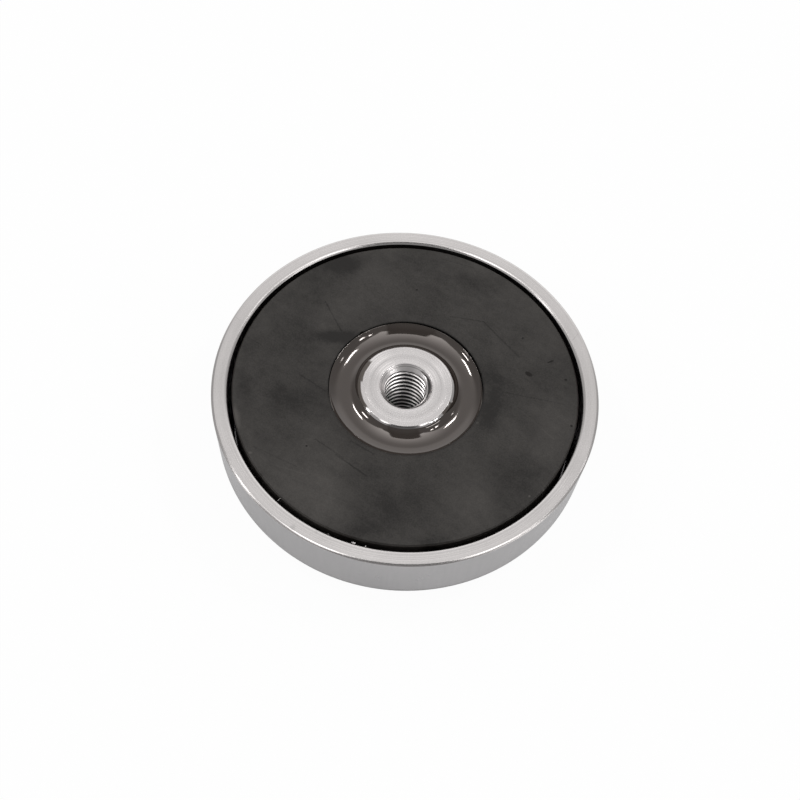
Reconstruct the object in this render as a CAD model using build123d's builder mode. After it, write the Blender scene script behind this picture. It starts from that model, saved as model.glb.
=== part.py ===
from build123d import *
from math import radians, tan
import os

# A shallow pot magnet, in millimetres. Its axis is +Z: the back rests on z = 0 and the
# holding face, which grips the workpiece, looks up.

# pot: a cup drawn from steel plate, its rim machined flat
pot_diameter = 80.0  # at the rim
pot_height = 18.0
wall_draft = 0.6  # the outside is this much smaller in radius at the back than at the rim
wall_thickness = 3.2
floor_thickness = 3.0
back_edge_radius = 5.5  # large round that drawing leaves between wall and back
inner_corner_radius = 0.8  # smaller than ring_gap, so that the ring sits flat
rim_bevel_width = 0.5  # across the rim
rim_bevel_depth = 0.3  # down the wall

# ring magnet: sintered ferrite, ground on both faces
ring_gap = 1.0  # open all round between the ring and the wall
ring_recess = 0.1  # the steel poles stand this far proud of the ring
ring_bore_diameter = 32.0
ring_edge_break = 0.3

# threaded bush: the centre pole, turned from bar, with a spigot pressed into the floor
bush_diameter = 20.0
bush_bevel_width = 0.5  # across the face
bush_bevel_depth = 0.35  # down the side
thread_minor_diameter = 8.5  # M10 x 1.5, tapped right through
face_mouth_depth = 1.25  # 45 degree countersink at the holding face
back_mouth_depth = 1.0  # 45 degree countersink at the back
spigot_wall = 2.75  # steel between the thread and the spigot's outside
spigot_clearance = 0.02  # on the radius, where the spigot sits in the floor
spigot_edge_break = 0.3

# potting resin: poured between bush and ring, its surface drawn up at both walls
resin_drop_at_ring = 0.35  # below the ring's face
resin_drop_at_bush = 0.45  # below the bush's face
meniscus_angle = 45.0  # slope of the surface where it meets the walls, in degrees

# sizes that follow from the ones above
pot_radius = pot_diameter / 2
cavity_radius = pot_radius - wall_thickness
ring_radius = cavity_radius - ring_gap
ring_top = pot_height - ring_recess
bore_radius = ring_bore_diameter / 2
bush_radius = bush_diameter / 2
thread_radius = thread_minor_diameter / 2
spigot_radius = thread_radius + spigot_wall
meniscus_sag = (bore_radius - bush_radius) / 2 * tan(radians(meniscus_angle / 2))
standing = (Align.CENTER, Align.CENTER, Align.MIN)


with BuildPart() as pot:
    Cone(pot_radius - wall_draft, pot_radius, pot_height, align=standing)
    with Locations((0, 0, floor_thickness)):
        Cylinder(cavity_radius, pot_height - floor_thickness, align=standing, mode=Mode.SUBTRACT)
    Hole(spigot_radius + spigot_clearance)
    back_edge = pot.faces().sort_by(Axis.Z)[0].outer_wire().edges()
    fillet(back_edge, back_edge_radius)
    floor_face = pot.faces().filter_by(Plane.XY).sort_by(Axis.Z)[1]
    fillet(floor_face.outer_wire().edges(), inner_corner_radius)
    rim = pot.faces().sort_by(Axis.Z)[-1]
    chamfer(rim.edges(), length=rim_bevel_width, length2=rim_bevel_depth, reference=rim)
pot.part.label = "pot"

with BuildPart() as ring_magnet:
    with Locations((0, 0, floor_thickness)):
        Cylinder(ring_radius, ring_top - floor_thickness, align=standing)
    Hole(bore_radius)
    chamfer(ring_magnet.edges().filter_by(GeomType.CIRCLE), ring_edge_break)
ring_magnet.part.label = "ring_magnet"

with BuildPart() as threaded_bush:
    Cylinder(spigot_radius, floor_thickness, align=standing)
    back_rim = threaded_bush.edges().filter_by(GeomType.CIRCLE).sort_by(Axis.Z)[0]
    chamfer(back_rim, spigot_edge_break)
    with Locations((0, 0, floor_thickness)):
        Cylinder(bush_radius, pot_height - floor_thickness, align=standing)
    face = threaded_bush.faces().sort_by(Axis.Z)[-1]
    chamfer(face.edges(), length=bush_bevel_width, length2=bush_bevel_depth, reference=face)
    Hole(thread_radius)
    face_mouth = threaded_bush.faces().sort_by(Axis.Z)[-1].inner_wires().edges()
    chamfer(face_mouth, face_mouth_depth)
    back_mouth = threaded_bush.faces().sort_by(Axis.Z)[0].inner_wires().edges()
    chamfer(back_mouth, back_mouth_depth)
threaded_bush.part.label = "threaded_bush"

with BuildPart() as potting_resin:
    with BuildSketch(Plane.XZ):
        with BuildLine():
            at_bush = (bush_radius, pot_height - resin_drop_at_bush)
            at_ring = (bore_radius, ring_top - resin_drop_at_ring)
            lowest = (
                (at_bush[0] + at_ring[0]) / 2,
                (at_bush[1] + at_ring[1]) / 2 - meniscus_sag,
            )
            ThreePointArc(at_bush, lowest, at_ring)
            Polyline(at_ring, (bore_radius, floor_thickness), (bush_radius, floor_thickness), at_bush)
        make_face()
    revolve(axis=Axis.Z)
potting_resin.part.label = "potting_resin"

os.makedirs("parts", exist_ok=True)
for piece in (pot, ring_magnet, threaded_bush, potting_resin):
    export_step(piece.part, f"parts/{piece.part.label}.step")
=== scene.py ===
import math

import bmesh
import bpy
import numpy as np
from mathutils import Matrix, Vector


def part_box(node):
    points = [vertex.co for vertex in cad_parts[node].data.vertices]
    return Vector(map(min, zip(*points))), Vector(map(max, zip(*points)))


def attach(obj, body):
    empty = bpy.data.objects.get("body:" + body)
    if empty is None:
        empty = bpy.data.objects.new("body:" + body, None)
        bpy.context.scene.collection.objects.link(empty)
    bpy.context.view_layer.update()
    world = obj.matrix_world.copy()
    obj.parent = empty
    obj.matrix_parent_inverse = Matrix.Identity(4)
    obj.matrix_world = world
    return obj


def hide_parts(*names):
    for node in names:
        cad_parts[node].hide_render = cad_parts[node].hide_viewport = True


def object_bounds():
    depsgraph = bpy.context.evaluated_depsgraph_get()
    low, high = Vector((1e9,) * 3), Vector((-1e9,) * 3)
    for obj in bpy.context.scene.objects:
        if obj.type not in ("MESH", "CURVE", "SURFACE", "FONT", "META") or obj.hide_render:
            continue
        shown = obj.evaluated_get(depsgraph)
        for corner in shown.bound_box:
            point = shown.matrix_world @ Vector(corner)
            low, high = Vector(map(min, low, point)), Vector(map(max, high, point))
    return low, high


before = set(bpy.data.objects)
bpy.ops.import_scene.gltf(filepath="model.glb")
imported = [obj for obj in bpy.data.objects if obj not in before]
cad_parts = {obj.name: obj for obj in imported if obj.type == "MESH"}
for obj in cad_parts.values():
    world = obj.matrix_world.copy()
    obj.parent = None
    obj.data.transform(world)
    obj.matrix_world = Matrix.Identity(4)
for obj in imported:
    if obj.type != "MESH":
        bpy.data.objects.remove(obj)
cadLow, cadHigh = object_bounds()
print("frame loaded:", ", ".join(sorted(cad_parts)))

mm = 0.001  # sizes below are in millimetres, and Blender's are in metres
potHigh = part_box("pot")[1] / mm
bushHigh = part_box("threaded_bush")[1] / mm
ringLow, ringHigh = [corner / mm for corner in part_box("ring_magnet")]
resinLow, resinHigh = [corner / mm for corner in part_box("potting_resin")]
faceHeight = potHigh.z  # the holding face, which the rim and the bush share
floorTop = ringLow.z  # the pot's floor, on which the ring lies
boreRadius = resinHigh.x  # the ring's bore, which the resin fills


# Node helpers: a value may be a number, a colour, a vector or another node's output.
def plug(tree, socket, value):
    if isinstance(value, bpy.types.NodeSocket):
        tree.links.new(value, socket)
    else:
        socket.default_value = value


def addNode(tree, kind, inputs=None, **settings):
    node = tree.nodes.new(kind)
    for name, value in settings.items():
        setattr(node, name, value)
    for name, value in (inputs or {}).items():
        plug(tree, node.inputs[name], value)
    return node


def calc(tree, operation, *values, clamp=False):
    inputs = dict(enumerate(values))
    return addNode(tree, "ShaderNodeMath", inputs, operation=operation, use_clamp=clamp).outputs[0]


def vectorCalc(tree, operation, *values):
    node = addNode(tree, "ShaderNodeVectorMath", dict(enumerate(values)), operation=operation)
    return node.outputs["Value" if operation in ("LENGTH", "DOT_PRODUCT") else "Vector"]


def remap(tree, value, low, high, toLow=0.0, toHigh=1.0):
    inputs = {"Value": value, "From Min": low, "From Max": high, "To Min": toLow, "To Max": toHigh}
    return addNode(tree, "ShaderNodeMapRange", inputs, interpolation_type="SMOOTHSTEP").outputs["Result"]


def mixValue(tree, share, first, second):
    return addNode(tree, "ShaderNodeMix", {0: share, 2: first, 3: second}).outputs[0]


def mixColour(tree, share, first, second):
    node = addNode(tree, "ShaderNodeMix", {0: share, 6: first, 7: second}, data_type="RGBA")
    return node.outputs[2]


def scaled(tree, vector, x, y, z):
    return vectorCalc(tree, "MULTIPLY", vector, (x, y, z))


def stretched(tree, vector, amount):
    node = addNode(tree, "ShaderNodeVectorMath", {0: vector, "Scale": amount}, operation="SCALE")
    return node.outputs[0]


def rotated(tree, vector, angle):  # round the axis
    inputs = {"Vector": vector, "Angle": angle}
    return addNode(tree, "ShaderNodeVectorRotate", inputs, rotation_type="Z_AXIS").outputs[0]


def split(tree, vector):
    return addNode(tree, "ShaderNodeSeparateXYZ", {0: vector}).outputs


def combined(tree, x, y, z=0.0):
    return addNode(tree, "ShaderNodeCombineXYZ", {0: x, 1: y, 2: z}).outputs[0]


def noise(tree, vector, scale, detail=2.0, roughness=0.5, seed=0.0):
    inputs = {"Vector": vector, "Scale": scale, "Detail": detail, "Roughness": roughness, "W": seed}
    return addNode(tree, "ShaderNodeTexNoise", inputs, noise_dimensions="4D").outputs[0]


def noiseAlong(tree, along, scale, detail, roughness=0.5):  # noise that changes in one direction
    inputs = {"W": along, "Scale": scale, "Detail": detail, "Roughness": roughness}
    return addNode(tree, "ShaderNodeTexNoise", inputs, noise_dimensions="1D").outputs[0]


def aroundZero(tree, value, size=1.0):  # a noise value of 0 to 1 as one of -size/2 to size/2
    return calc(tree, "MULTIPLY", calc(tree, "SUBTRACT", value, 0.5), size)


def total(tree, *values):
    result = values[0]
    for value in values[1:]:
        result = calc(tree, "ADD", result, value)
    return result


def tinted(value, red=1.0, blue=1.0):  # a grey with its red and blue against its green
    return (value * red, value, value * blue, 1.0)


def shades(tree, share, value, spread, tint):  # from a darker to a paler tone of one colour
    dark, pale = tinted(value * (1 - spread), *tint), tinted(value * (1 + spread), *tint)
    return mixColour(tree, share, dark, pale)


def fadeOut(tree, away, softness):  # 1 in the middle, 0 beyond a soft edge where away is 1
    start = calc(tree, "SUBTRACT", 1.0, softness)
    finish = calc(tree, "ADD", 1.0, softness)
    return remap(tree, away, start, finish, 1.0, 0.0)


def onFace(tree, height, elsewhere=0.0):  # 1 on the flat holding face and not on its bevels
    return remap(tree, height, faceHeight - 0.03, faceHeight - 0.003, elsewhere, 1.0)


def addBump(tree, shader, height, depth):
    inputs = {"Strength": 1.0, "Distance": depth * mm, "Height": height}
    plug(tree, shader.inputs["Normal"], addNode(tree, "ShaderNodeBump", inputs).outputs[0])


def emptyTree(owner):
    owner.use_nodes = True
    owner.node_tree.nodes.clear()
    return owner.node_tree


def newGroup(name, inputs, outputs):
    group = bpy.data.node_groups.new(name, "ShaderNodeTree")
    for label, value in inputs.items():
        kind = "NodeSocketVector" if isinstance(value, tuple) else "NodeSocketFloat"
        group.interface.new_socket(label, in_out="INPUT", socket_type=kind).default_value = value
    for label in outputs:
        group.interface.new_socket(label, in_out="OUTPUT", socket_type="NodeSocketFloat")
    given = addNode(group, "NodeGroupInput").outputs
    return group, given, addNode(group, "NodeGroupOutput").inputs


def placed(tree, group, inputs):
    node = addNode(tree, "ShaderNodeGroup", node_tree=group)
    for label, value in inputs.items():
        plug(tree, node.inputs[label], value)
    return node.outputs


def newMaterial(name, **settings):
    material = bpy.data.materials.new(name)
    tree = emptyTree(material)
    shader = addNode(tree, "ShaderNodeBsdfPrincipled", settings)
    output = addNode(tree, "ShaderNodeOutputMaterial")
    tree.links.new(shader.outputs[0], output.inputs[0])
    place = scaled(tree, addNode(tree, "ShaderNodeTexCoord").outputs["Object"], 1 / mm, 1 / mm, 1 / mm)
    return material, tree, shader, place


# Studio: a plain room as shiny surfaces see it, with soft lamps.
studio = {
    "cameraTilt": 58.89,  # degrees above the horizon
    "cameraDistance": 257.4,  # from the middle of the holding face
    "cameraRoll": 5.80,
    "cameraYaw": 0.28,
    "cameraPitch": -0.64,
    "lens": 56.12,
    "ambient": 0.5,
    "floorColour": 0.9,
    "floorGlow": 0.96,  # share of the floor that is plain white to the camera
    "floorGlowInMetal": 0.5,  # the same in reflections, near the magnet and not under it
    "glowFades": (2.0, 15.0),  # the distances between which that glow fades, in pot radii
    "floorShade": (-0.6, -0.8, 0.14),  # where reflections show less of that glow, and how much less
    "floorShadeFrom": 0.6,  # the cosine of the angle at which that begins
    "floorHalfSize": 3000.0,
    "lampDistance": 700.0,
    "potLampStretch": 4,  # how much taller the lamps are that light only the pot
}
room = {  # the light that shiny surfaces see; places in it are the x or y of a direction
    "walls": 0.48,
    "middle": 0.03,  # the pale ceiling and back wall lie on both sides of this x
    "halfWidth": 0.61,
    "narrowing": 0.3,  # towards the camera
    "soft": 0.03,
    "softFarther": 0.3,
    "backEdge": 0.66,  # the back wall begins here
    "backLean": 0.06,
    "backSoft": 0.08,
    "backLight": 1.25,
    "farLight": 0.86,  # of the ceiling, from its far end to its near one
    "nearLight": 3.3,
    "gathering": 1.5,  # how far that light gathers at the near end
    "farEnd": 0.5,
    "nearEnd": -0.48,
    "behindLight": 0.33,
}
cameraStand = {  # the dark camera and its stand, as a shape that widens downwards
    "middle": 0.1,
    "lean": -0.1,
    "halfWidth": 0.22,
    "widening": 0.4,
    "top": -0.21,
    "soft": 0.02,
    "light": 0.2,
    "lightBelow": 0.36,
    "lightChanges": (0.3, 0.7),  # how far below its top
}
lamps = {  # azimuth, elevation, width, height and roll in degrees as seen from the magnet,
    # then its radiance, and the lower one of the taller copy that lights only the pot
    "leftOverhead": (160.0, 56.5, 13.0, 5.0, 22.0, 28.0, 1.2),
    "rightOverhead": (24.0, 54.5, 13.0, 5.0, -15.0, 28.0, 1.2),
    "leftSide": (190.5, 39.3, 9.0, 4.0, 10.0, 28.0, 2.8),
    "rightSide": (340.0, 37.0, 5.0, 4.5, 0.0, 22.0, 1.8),
    "rightFront": (331.0, 42.0, 3.5, 3.5, 0.0, 22.0, 1.8),
    "rightBack": (13.0, 32.5, 4.5, 3.0, 0.0, 9.0, 1.4),
    "rightLow": (331.0, 21.0, 27.0, 3.5, -15.0, 5.0, 1.0),
    "leftLow": (198.0, 19.5, 8.0, 3.5, 10.0, 4.0, 1.0),
}


def skyDirection(azimuth, elevation):
    a, e = math.radians(azimuth), math.radians(elevation)
    return Vector((math.cos(a) * math.cos(e), math.sin(a) * math.cos(e), math.sin(e)))


def makeCamera():
    camera = bpy.data.objects.new("camera", bpy.data.cameras.new("camera"))
    bpy.context.scene.collection.objects.link(camera)
    camera.data.lens = studio["lens"]
    camera.data.clip_start = 0.01
    turn = Matrix.Rotation(math.radians(90 - studio["cameraTilt"]), 4, "X")
    turn @= Matrix.Rotation(math.radians(studio["cameraRoll"]), 4, "Z")
    turn @= Matrix.Rotation(math.radians(studio["cameraYaw"]), 4, "Y")
    turn @= Matrix.Rotation(math.radians(studio["cameraPitch"]), 4, "X")
    target = Vector((0, 0, faceHeight))
    place = (target + skyDirection(270, studio["cameraTilt"]) * studio["cameraDistance"]) * mm
    camera.matrix_world = Matrix.Translation(place) @ turn
    bpy.context.scene.camera = camera


def roomLight(tree):
    direction = addNode(tree, "ShaderNodeTexCoord").outputs["Generated"]
    x, y, _ = split(tree, direction)
    soft, backSoft = room["soft"], room["backSoft"]
    far, near = room["farEnd"], room["nearEnd"]
    nearer = calc(tree, "DIVIDE", calc(tree, "SUBTRACT", far, y), far - near, clamp=True)
    nearer = calc(tree, "POWER", nearer, room["gathering"])
    ceiling = mixValue(tree, nearer, room["farLight"], room["nearLight"])
    ceiling = mixValue(tree, remap(tree, y, near - soft, near + soft), room["behindLight"], ceiling)
    edge = calc(tree, "MULTIPLY_ADD", x, room["backLean"], room["backEdge"])
    back = remap(tree, calc(tree, "SUBTRACT", y, edge), -backSoft, backSoft)
    ceiling = mixValue(tree, back, ceiling, room["backLight"])
    aside = calc(tree, "ABSOLUTE", calc(tree, "SUBTRACT", x, room["middle"]))
    reach = calc(tree, "MULTIPLY_ADD", calc(tree, "MINIMUM", y, 0.0), room["narrowing"], room["halfWidth"])
    blur = calc(tree, "MULTIPLY_ADD", calc(tree, "MAXIMUM", y, 0.0), room["softFarther"], soft)
    within = calc(tree, "DIVIDE", calc(tree, "SUBTRACT", reach, aside), blur)
    level = mixValue(tree, remap(tree, within, -1.0, 1.0), room["walls"], ceiling)
    down = calc(tree, "SUBTRACT", cameraStand["top"], y)
    centre = calc(tree, "MULTIPLY_ADD", down, cameraStand["lean"], cameraStand["middle"])
    aside = calc(tree, "ABSOLUTE", calc(tree, "SUBTRACT", x, centre))
    reach = calc(tree, "MULTIPLY_ADD", down, cameraStand["widening"], cameraStand["halfWidth"])
    soft = cameraStand["soft"]
    inside = remap(tree, calc(tree, "SUBTRACT", aside, reach), -soft, soft, 1.0, 0.0)
    inside = calc(tree, "MULTIPLY", inside, remap(tree, down, -soft, soft))
    lower = remap(tree, down, *cameraStand["lightChanges"])
    light = mixValue(tree, lower, cameraStand["light"], cameraStand["lightBelow"])
    return mixValue(tree, inside, level, light)


def makeWorld():
    world = bpy.data.worlds.new("studioRoom")
    bpy.context.scene.world = world
    tree = emptyTree(world)
    ray = addNode(tree, "ShaderNodeLightPath").outputs
    shown = mixValue(tree, ray["Is Glossy Ray"], 1.0, roomLight(tree))
    seen = calc(tree, "MAXIMUM", ray["Is Camera Ray"], ray["Is Glossy Ray"])
    seen = calc(tree, "MAXIMUM", seen, ray["Is Transmission Ray"])
    strength = mixValue(tree, seen, studio["ambient"], shown)
    background = addNode(tree, "ShaderNodeBackground", {"Color": tinted(1.0), "Strength": strength})
    output = addNode(tree, "ShaderNodeOutputWorld")
    tree.links.new(background.outputs[0], output.inputs[0])


def makeLamps(crisplyLit, softlyLit):
    distance = studio["lampDistance"] * mm
    middle = Vector((0, 0, faceHeight * mm))
    for name, (azimuth, elevation, width, height, roll, crisp, soft) in lamps.items():
        towards = skyDirection(azimuth, elevation)
        turn = towards.to_track_quat("Z", "Y").to_matrix().to_4x4()
        turn = turn @ Matrix.Rotation(math.radians(roll), 4, "Z")
        copies = ((crisp, 1, crisplyLit), (soft, studio["potLampStretch"], softlyLit))
        for radiance, stretch, pieces in copies:
            light = bpy.data.lights.new(name, "AREA")
            light.shape = "RECTANGLE"
            light.size = math.radians(width) * distance
            light.size_y = stretch * math.radians(height) * distance
            light.energy = radiance * math.pi * light.size * light.size_y
            lamp = bpy.data.objects.new(name, light)
            bpy.context.scene.collection.objects.link(lamp)
            lamp.light_linking.receiver_collection = pieces
            lamp.matrix_world = Matrix.Translation(middle + towards * distance) @ turn
            lamp.visible_camera = False


def makeFloor():
    material = bpy.data.materials.new("paleFloor")
    tree = emptyTree(material)
    ray = addNode(tree, "ShaderNodeLightPath").outputs
    matt = addNode(tree, "ShaderNodeBsdfDiffuse", {"Color": tinted(studio["floorColour"])})
    glow = addNode(tree, "ShaderNodeEmission", {"Color": tinted(1.0)})
    place = scaled(tree, addNode(tree, "ShaderNodeTexCoord").outputs["Object"], 1 / mm, 1 / mm, 0.0)
    radius = vectorCalc(tree, "LENGTH", place)
    around = remap(tree, radius, potHigh.x, potHigh.x + 1)
    fadeStart, fadeEnd = (share * potHigh.x for share in studio["glowFades"])
    around = calc(tree, "MULTIPLY", around, remap(tree, radius, fadeStart, fadeEnd, 1.0, 0.0))
    shadeX, shadeY, shade = studio["floorShade"]
    facing = vectorCalc(tree, "DOT_PRODUCT", vectorCalc(tree, "NORMALIZE", place), (shadeX, shadeY, 0.0))
    shaded = remap(tree, facing, studio["floorShadeFrom"], 1.0, 0.0, shade)
    glowing = calc(tree, "SUBTRACT", studio["floorGlowInMetal"], shaded)
    inMetal = calc(tree, "MULTIPLY", ray["Is Glossy Ray"], glowing)
    share = calc(tree, "MULTIPLY", ray["Is Camera Ray"], studio["floorGlow"])
    share = calc(tree, "MULTIPLY_ADD", inMetal, around, share)
    mix = addNode(tree, "ShaderNodeMixShader", {0: share, 1: matt.outputs[0], 2: glow.outputs[0]})
    output = addNode(tree, "ShaderNodeOutputMaterial")
    tree.links.new(mix.outputs[0], output.inputs[0])
    half = studio["floorHalfSize"] * mm
    mesh = bpy.data.meshes.new("floor")
    corners = [(-half, -half, 0), (half, -half, 0), (half, half, 0), (-half, half, 0)]
    mesh.from_pydata(corners, [], [(0, 1, 2, 3)])
    mesh.materials.append(material)
    floor = bpy.data.objects.new("floor", mesh)
    floor.location.z = cadLow.z - 0.01 * mm  # clear of the pot's back
    bpy.context.scene.collection.objects.link(floor)
    return floor


makeCamera()
makeWorld()
floor = makeFloor()
crisplyLit = bpy.data.collections.new("crisplyLit")  # what the lamps light
softlyLit = bpy.data.collections.new("softlyLit")  # what their taller, weaker copies light
crisplyLit.objects.link(floor)
makeLamps(crisplyLit, softlyLit)
bpy.context.scene.view_settings.view_transform = "Standard"
print("studio ready:", len(lamps), "lamps")


# Turned shapes: a section given by its corners, each (radius, height, rounding), is spun round Z.
# The corners run anticlockwise in the section, so that the metal is on their left.
def roundedSection(corners, fine=4, broad=16):
    points, tangents = [], []
    count = len(corners)
    for i, (radius, height, rounding) in enumerate(corners):
        corner = np.array((radius, height))
        into = corner - np.array(corners[i - 1][:2])
        out = np.array(corners[(i + 1) % count][:2]) - corner
        into, out = into / np.linalg.norm(into), out / np.linalg.norm(out)
        bend = math.atan2(into[0] * out[1] - into[1] * out[0], into @ out)
        start = corner - into * rounding * math.tan(abs(bend) / 2)
        side = math.copysign(1, bend)
        centre = start + side * rounding * np.array((-into[1], into[0]))
        steps = broad if rounding > 0.25 else fine
        for k in range(steps + 1):
            a = bend * k / steps
            along = np.array((into[0] * math.cos(a) - into[1] * math.sin(a),
                              into[0] * math.sin(a) + into[1] * math.cos(a)))
            points.append(centre - side * rounding * np.array((-along[1], along[0])))
            tangents.append(along)
    return np.array(points), np.array(tangents)


def bevelDepths(width, slopes):  # below the face, halfway across a bevel and at its end
    first, second = (math.tan(math.radians(slope)) * width / 2 for slope in slopes)
    return first, first + second


def spin(name, points, tangents, segments, change=None, closed=True):
    angle = np.linspace(0, 2 * math.pi, segments, endpoint=False)[None, :]
    radius, height = (np.repeat(points[:, k:k + 1], segments, 1) for k in (0, 1))
    flow = np.repeat(tangents[:, None, :], segments, 1)
    if change:
        radius, height = change(radius, height, np.repeat(angle, len(points), 0))
        flow = np.stack([np.gradient(radius, axis=0), np.gradient(height, axis=0)], -1)
    place = np.stack([radius * np.cos(angle), radius * np.sin(angle), height], -1)
    along = np.stack([flow[..., 0] * np.cos(angle), flow[..., 0] * np.sin(angle), flow[..., 1]], -1)
    around = np.roll(place, -1, 1) - np.roll(place, 1, 1)
    normal = np.cross(around, along)
    normal /= np.linalg.norm(normal, axis=-1, keepdims=True)
    repeated = [i > 0 and np.allclose(points[i], points[i - 1]) for i in range(len(points))]
    row = np.cumsum(np.logical_not(repeated)) - 1  # a hard corner is two points that share one row
    near = np.arange(segments)
    beside = (near + 1) % segments
    corners, normals = [], []
    for i in range(len(points) if closed else len(points) - 1):
        k = (i + 1) % len(points)
        if row[i] == row[k]:
            continue
        here, there = row[i] * segments, row[k] * segments
        corners.append(np.stack([here + near, here + beside, there + beside, there + near], 1))
        normals.append(np.stack([normal[i, near], normal[i, beside], normal[k, beside], normal[k, near]], 1))
    mesh = bpy.data.meshes.new(name)
    kept = place[np.logical_not(repeated)].reshape(-1, 3) * mm
    mesh.from_pydata(kept.tolist(), [], np.concatenate(corners).tolist())
    mesh.polygons.foreach_set("use_smooth", [True] * len(mesh.polygons))
    mesh.normals_split_custom_set(np.concatenate(normals).reshape(-1, 3).tolist())
    return mesh


def showPiece(name, mesh):
    piece = bpy.data.objects.new(name, mesh)
    bpy.context.scene.collection.objects.link(piece)
    return piece


# Surface effects that several materials share.
def makePolarGroup():  # where a point lies round the axis: radius in mm, angle in degrees from 0 to 360
    group, given, out = newGroup("roundTheAxis", {"Place": (0.0, 0.0, 0.0)}, ["Radius", "Angle", "Height"])
    parts = split(group, given["Place"])
    flat = scaled(group, given["Place"], 1, 1, 0)
    angle = calc(group, "DEGREES", calc(group, "ARCTAN2", parts[1], parts[0]))
    plug(group, out["Radius"], vectorCalc(group, "LENGTH", flat))
    plug(group, out["Angle"], calc(group, "FLOORED_MODULO", angle, 360.0))
    plug(group, out["Height"], parts[2])
    return group


def makeTurningGroup():  # fine rings left by a lathe tool
    inputs = {"Place": (0.0, 0.0, 0.0), "Spacing": 0.35, "Wander": 0.1}
    group, given, out = newGroup("turningMarks", inputs, ["Groove", "Band"])
    polar = placed(group, roundTheAxis, {"Place": given["Place"]})
    wander = calc(group, "MULTIPLY", noise(group, given["Place"], 0.15), given["Wander"])
    across = calc(group, "MULTIPLY_ADD", polar["Height"], 0.7, polar["Radius"])
    across = calc(group, "DIVIDE", calc(group, "ADD", across, wander), given["Spacing"])
    plug(group, out["Groove"], noiseAlong(group, across, 1.0, 3.0, 0.65))
    plug(group, out["Band"], noiseAlong(group, across, 0.3, 1.0))
    return group


def makeGrainGroup():  # fine grain over broad, soft clouds
    inputs = {"Place": (0.0, 0.0, 0.0), "Grain Size": 0.3, "Cloud Size": 6.0, "Seed": 0.0}
    group, given, out = newGroup("grainAndClouds", inputs, ["Grain", "Cloud"])
    fineScale = calc(group, "DIVIDE", 1.0, given["Grain Size"])
    broadScale = calc(group, "DIVIDE", 1.0, given["Cloud Size"])
    plug(group, out["Grain"], noise(group, given["Place"], fineScale, 3.0, 0.6, given["Seed"]))
    plug(group, out["Cloud"], noise(group, given["Place"], broadScale, 4.0, 0.6, given["Seed"]))
    return group


def makePatchGroup():  # one soft oval patch; the ragged value pushes its edge in and out
    inputs = {"Place": (0.0, 0.0, 0.0), "Middle": (0.0, 0.0, 0.0), "Direction": 0.0,
              "Length": 6.0, "Width": 3.0, "Softness": 0.6, "Ragged": 0.0}
    group, given, out = newGroup("softPatch", inputs, ["Patch"])
    moved = vectorCalc(group, "SUBTRACT", given["Place"], given["Middle"])
    angle = calc(group, "RADIANS", calc(group, "MULTIPLY", given["Direction"], -1.0))
    parts = split(group, rotated(group, moved, angle))
    x = calc(group, "DIVIDE", parts[0], calc(group, "MULTIPLY", given["Length"], 0.5))
    y = calc(group, "DIVIDE", parts[1], calc(group, "MULTIPLY", given["Width"], 0.5))
    away = calc(group, "ADD", vectorCalc(group, "LENGTH", combined(group, x, y)), given["Ragged"])
    plug(group, out["Patch"], fadeOut(group, away, given["Softness"]))
    return group


def makeLineGroup():  # one scratch, as a line between two points
    inputs = {"Place": (0.0, 0.0, 0.0), "Start": (0.0, 0.0, 0.0), "End": (1.0, 0.0, 0.0),
              "Width": 0.2, "Wander": 0.0}
    group, given, out = newGroup("lineScratch", inputs, ["Line"])
    flat = scaled(group, given["Place"], 1, 1, 0)
    reach = vectorCalc(group, "SUBTRACT", flat, given["Start"])
    whole = vectorCalc(group, "SUBTRACT", given["End"], given["Start"])
    share = calc(group, "DIVIDE", vectorCalc(group, "DOT_PRODUCT", reach, whole),
                 vectorCalc(group, "DOT_PRODUCT", whole, whole), clamp=True)
    away = vectorCalc(group, "LENGTH", vectorCalc(group, "SUBTRACT", reach, stretched(group, whole, share)))
    away = calc(group, "ADD", away, given["Wander"])
    plug(group, out["Line"], remap(group, away, 0.0, given["Width"], 1.0, 0.0))
    return group


def makeArcGroup():  # a patch that follows a stretch of a circle
    inputs = {"Place": (0.0, 0.0, 0.0), "Angle": 0.0, "Half Angle": 20.0, "Radius": 10.0,
              "Half Width": 1.0, "Softness": 0.3, "Ragged": 0.0}
    group, given, out = newGroup("arcPatch", inputs, ["Patch"])
    polar = placed(group, roundTheAxis, {"Place": given["Place"]})
    turn = calc(group, "SUBTRACT", polar["Angle"], given["Angle"])
    turn = calc(group, "FLOORED_MODULO", calc(group, "ADD", turn, 540.0), 360.0)
    turn = calc(group, "ABSOLUTE", calc(group, "SUBTRACT", turn, 180.0))
    turn = calc(group, "DIVIDE", turn, given["Half Angle"])
    across = calc(group, "ABSOLUTE", calc(group, "SUBTRACT", polar["Radius"], given["Radius"]))
    across = calc(group, "DIVIDE", across, given["Half Width"])
    away = calc(group, "ADD", calc(group, "MAXIMUM", turn, across), given["Ragged"])
    plug(group, out["Patch"], fadeOut(group, away, given["Softness"]))
    return group


roundTheAxis = makePolarGroup()
turningMarks = makeTurningGroup()
grainAndClouds = makeGrainGroup()
softPatch = makePatchGroup()
lineScratch = makeLineGroup()
arcPatch = makeArcGroup()


def withPatches(tree, tone, place, patches, softness, ragged):
    for x, y, length, width, direction, change in patches:
        inputs = {"Place": place, "Middle": (x, y, 0.0), "Direction": direction,
                  "Length": length, "Width": width, "Softness": softness, "Ragged": ragged}
        tone = calc(tree, "MULTIPLY_ADD", placed(tree, softPatch, inputs)["Patch"], change, tone)
    return tone


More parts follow.
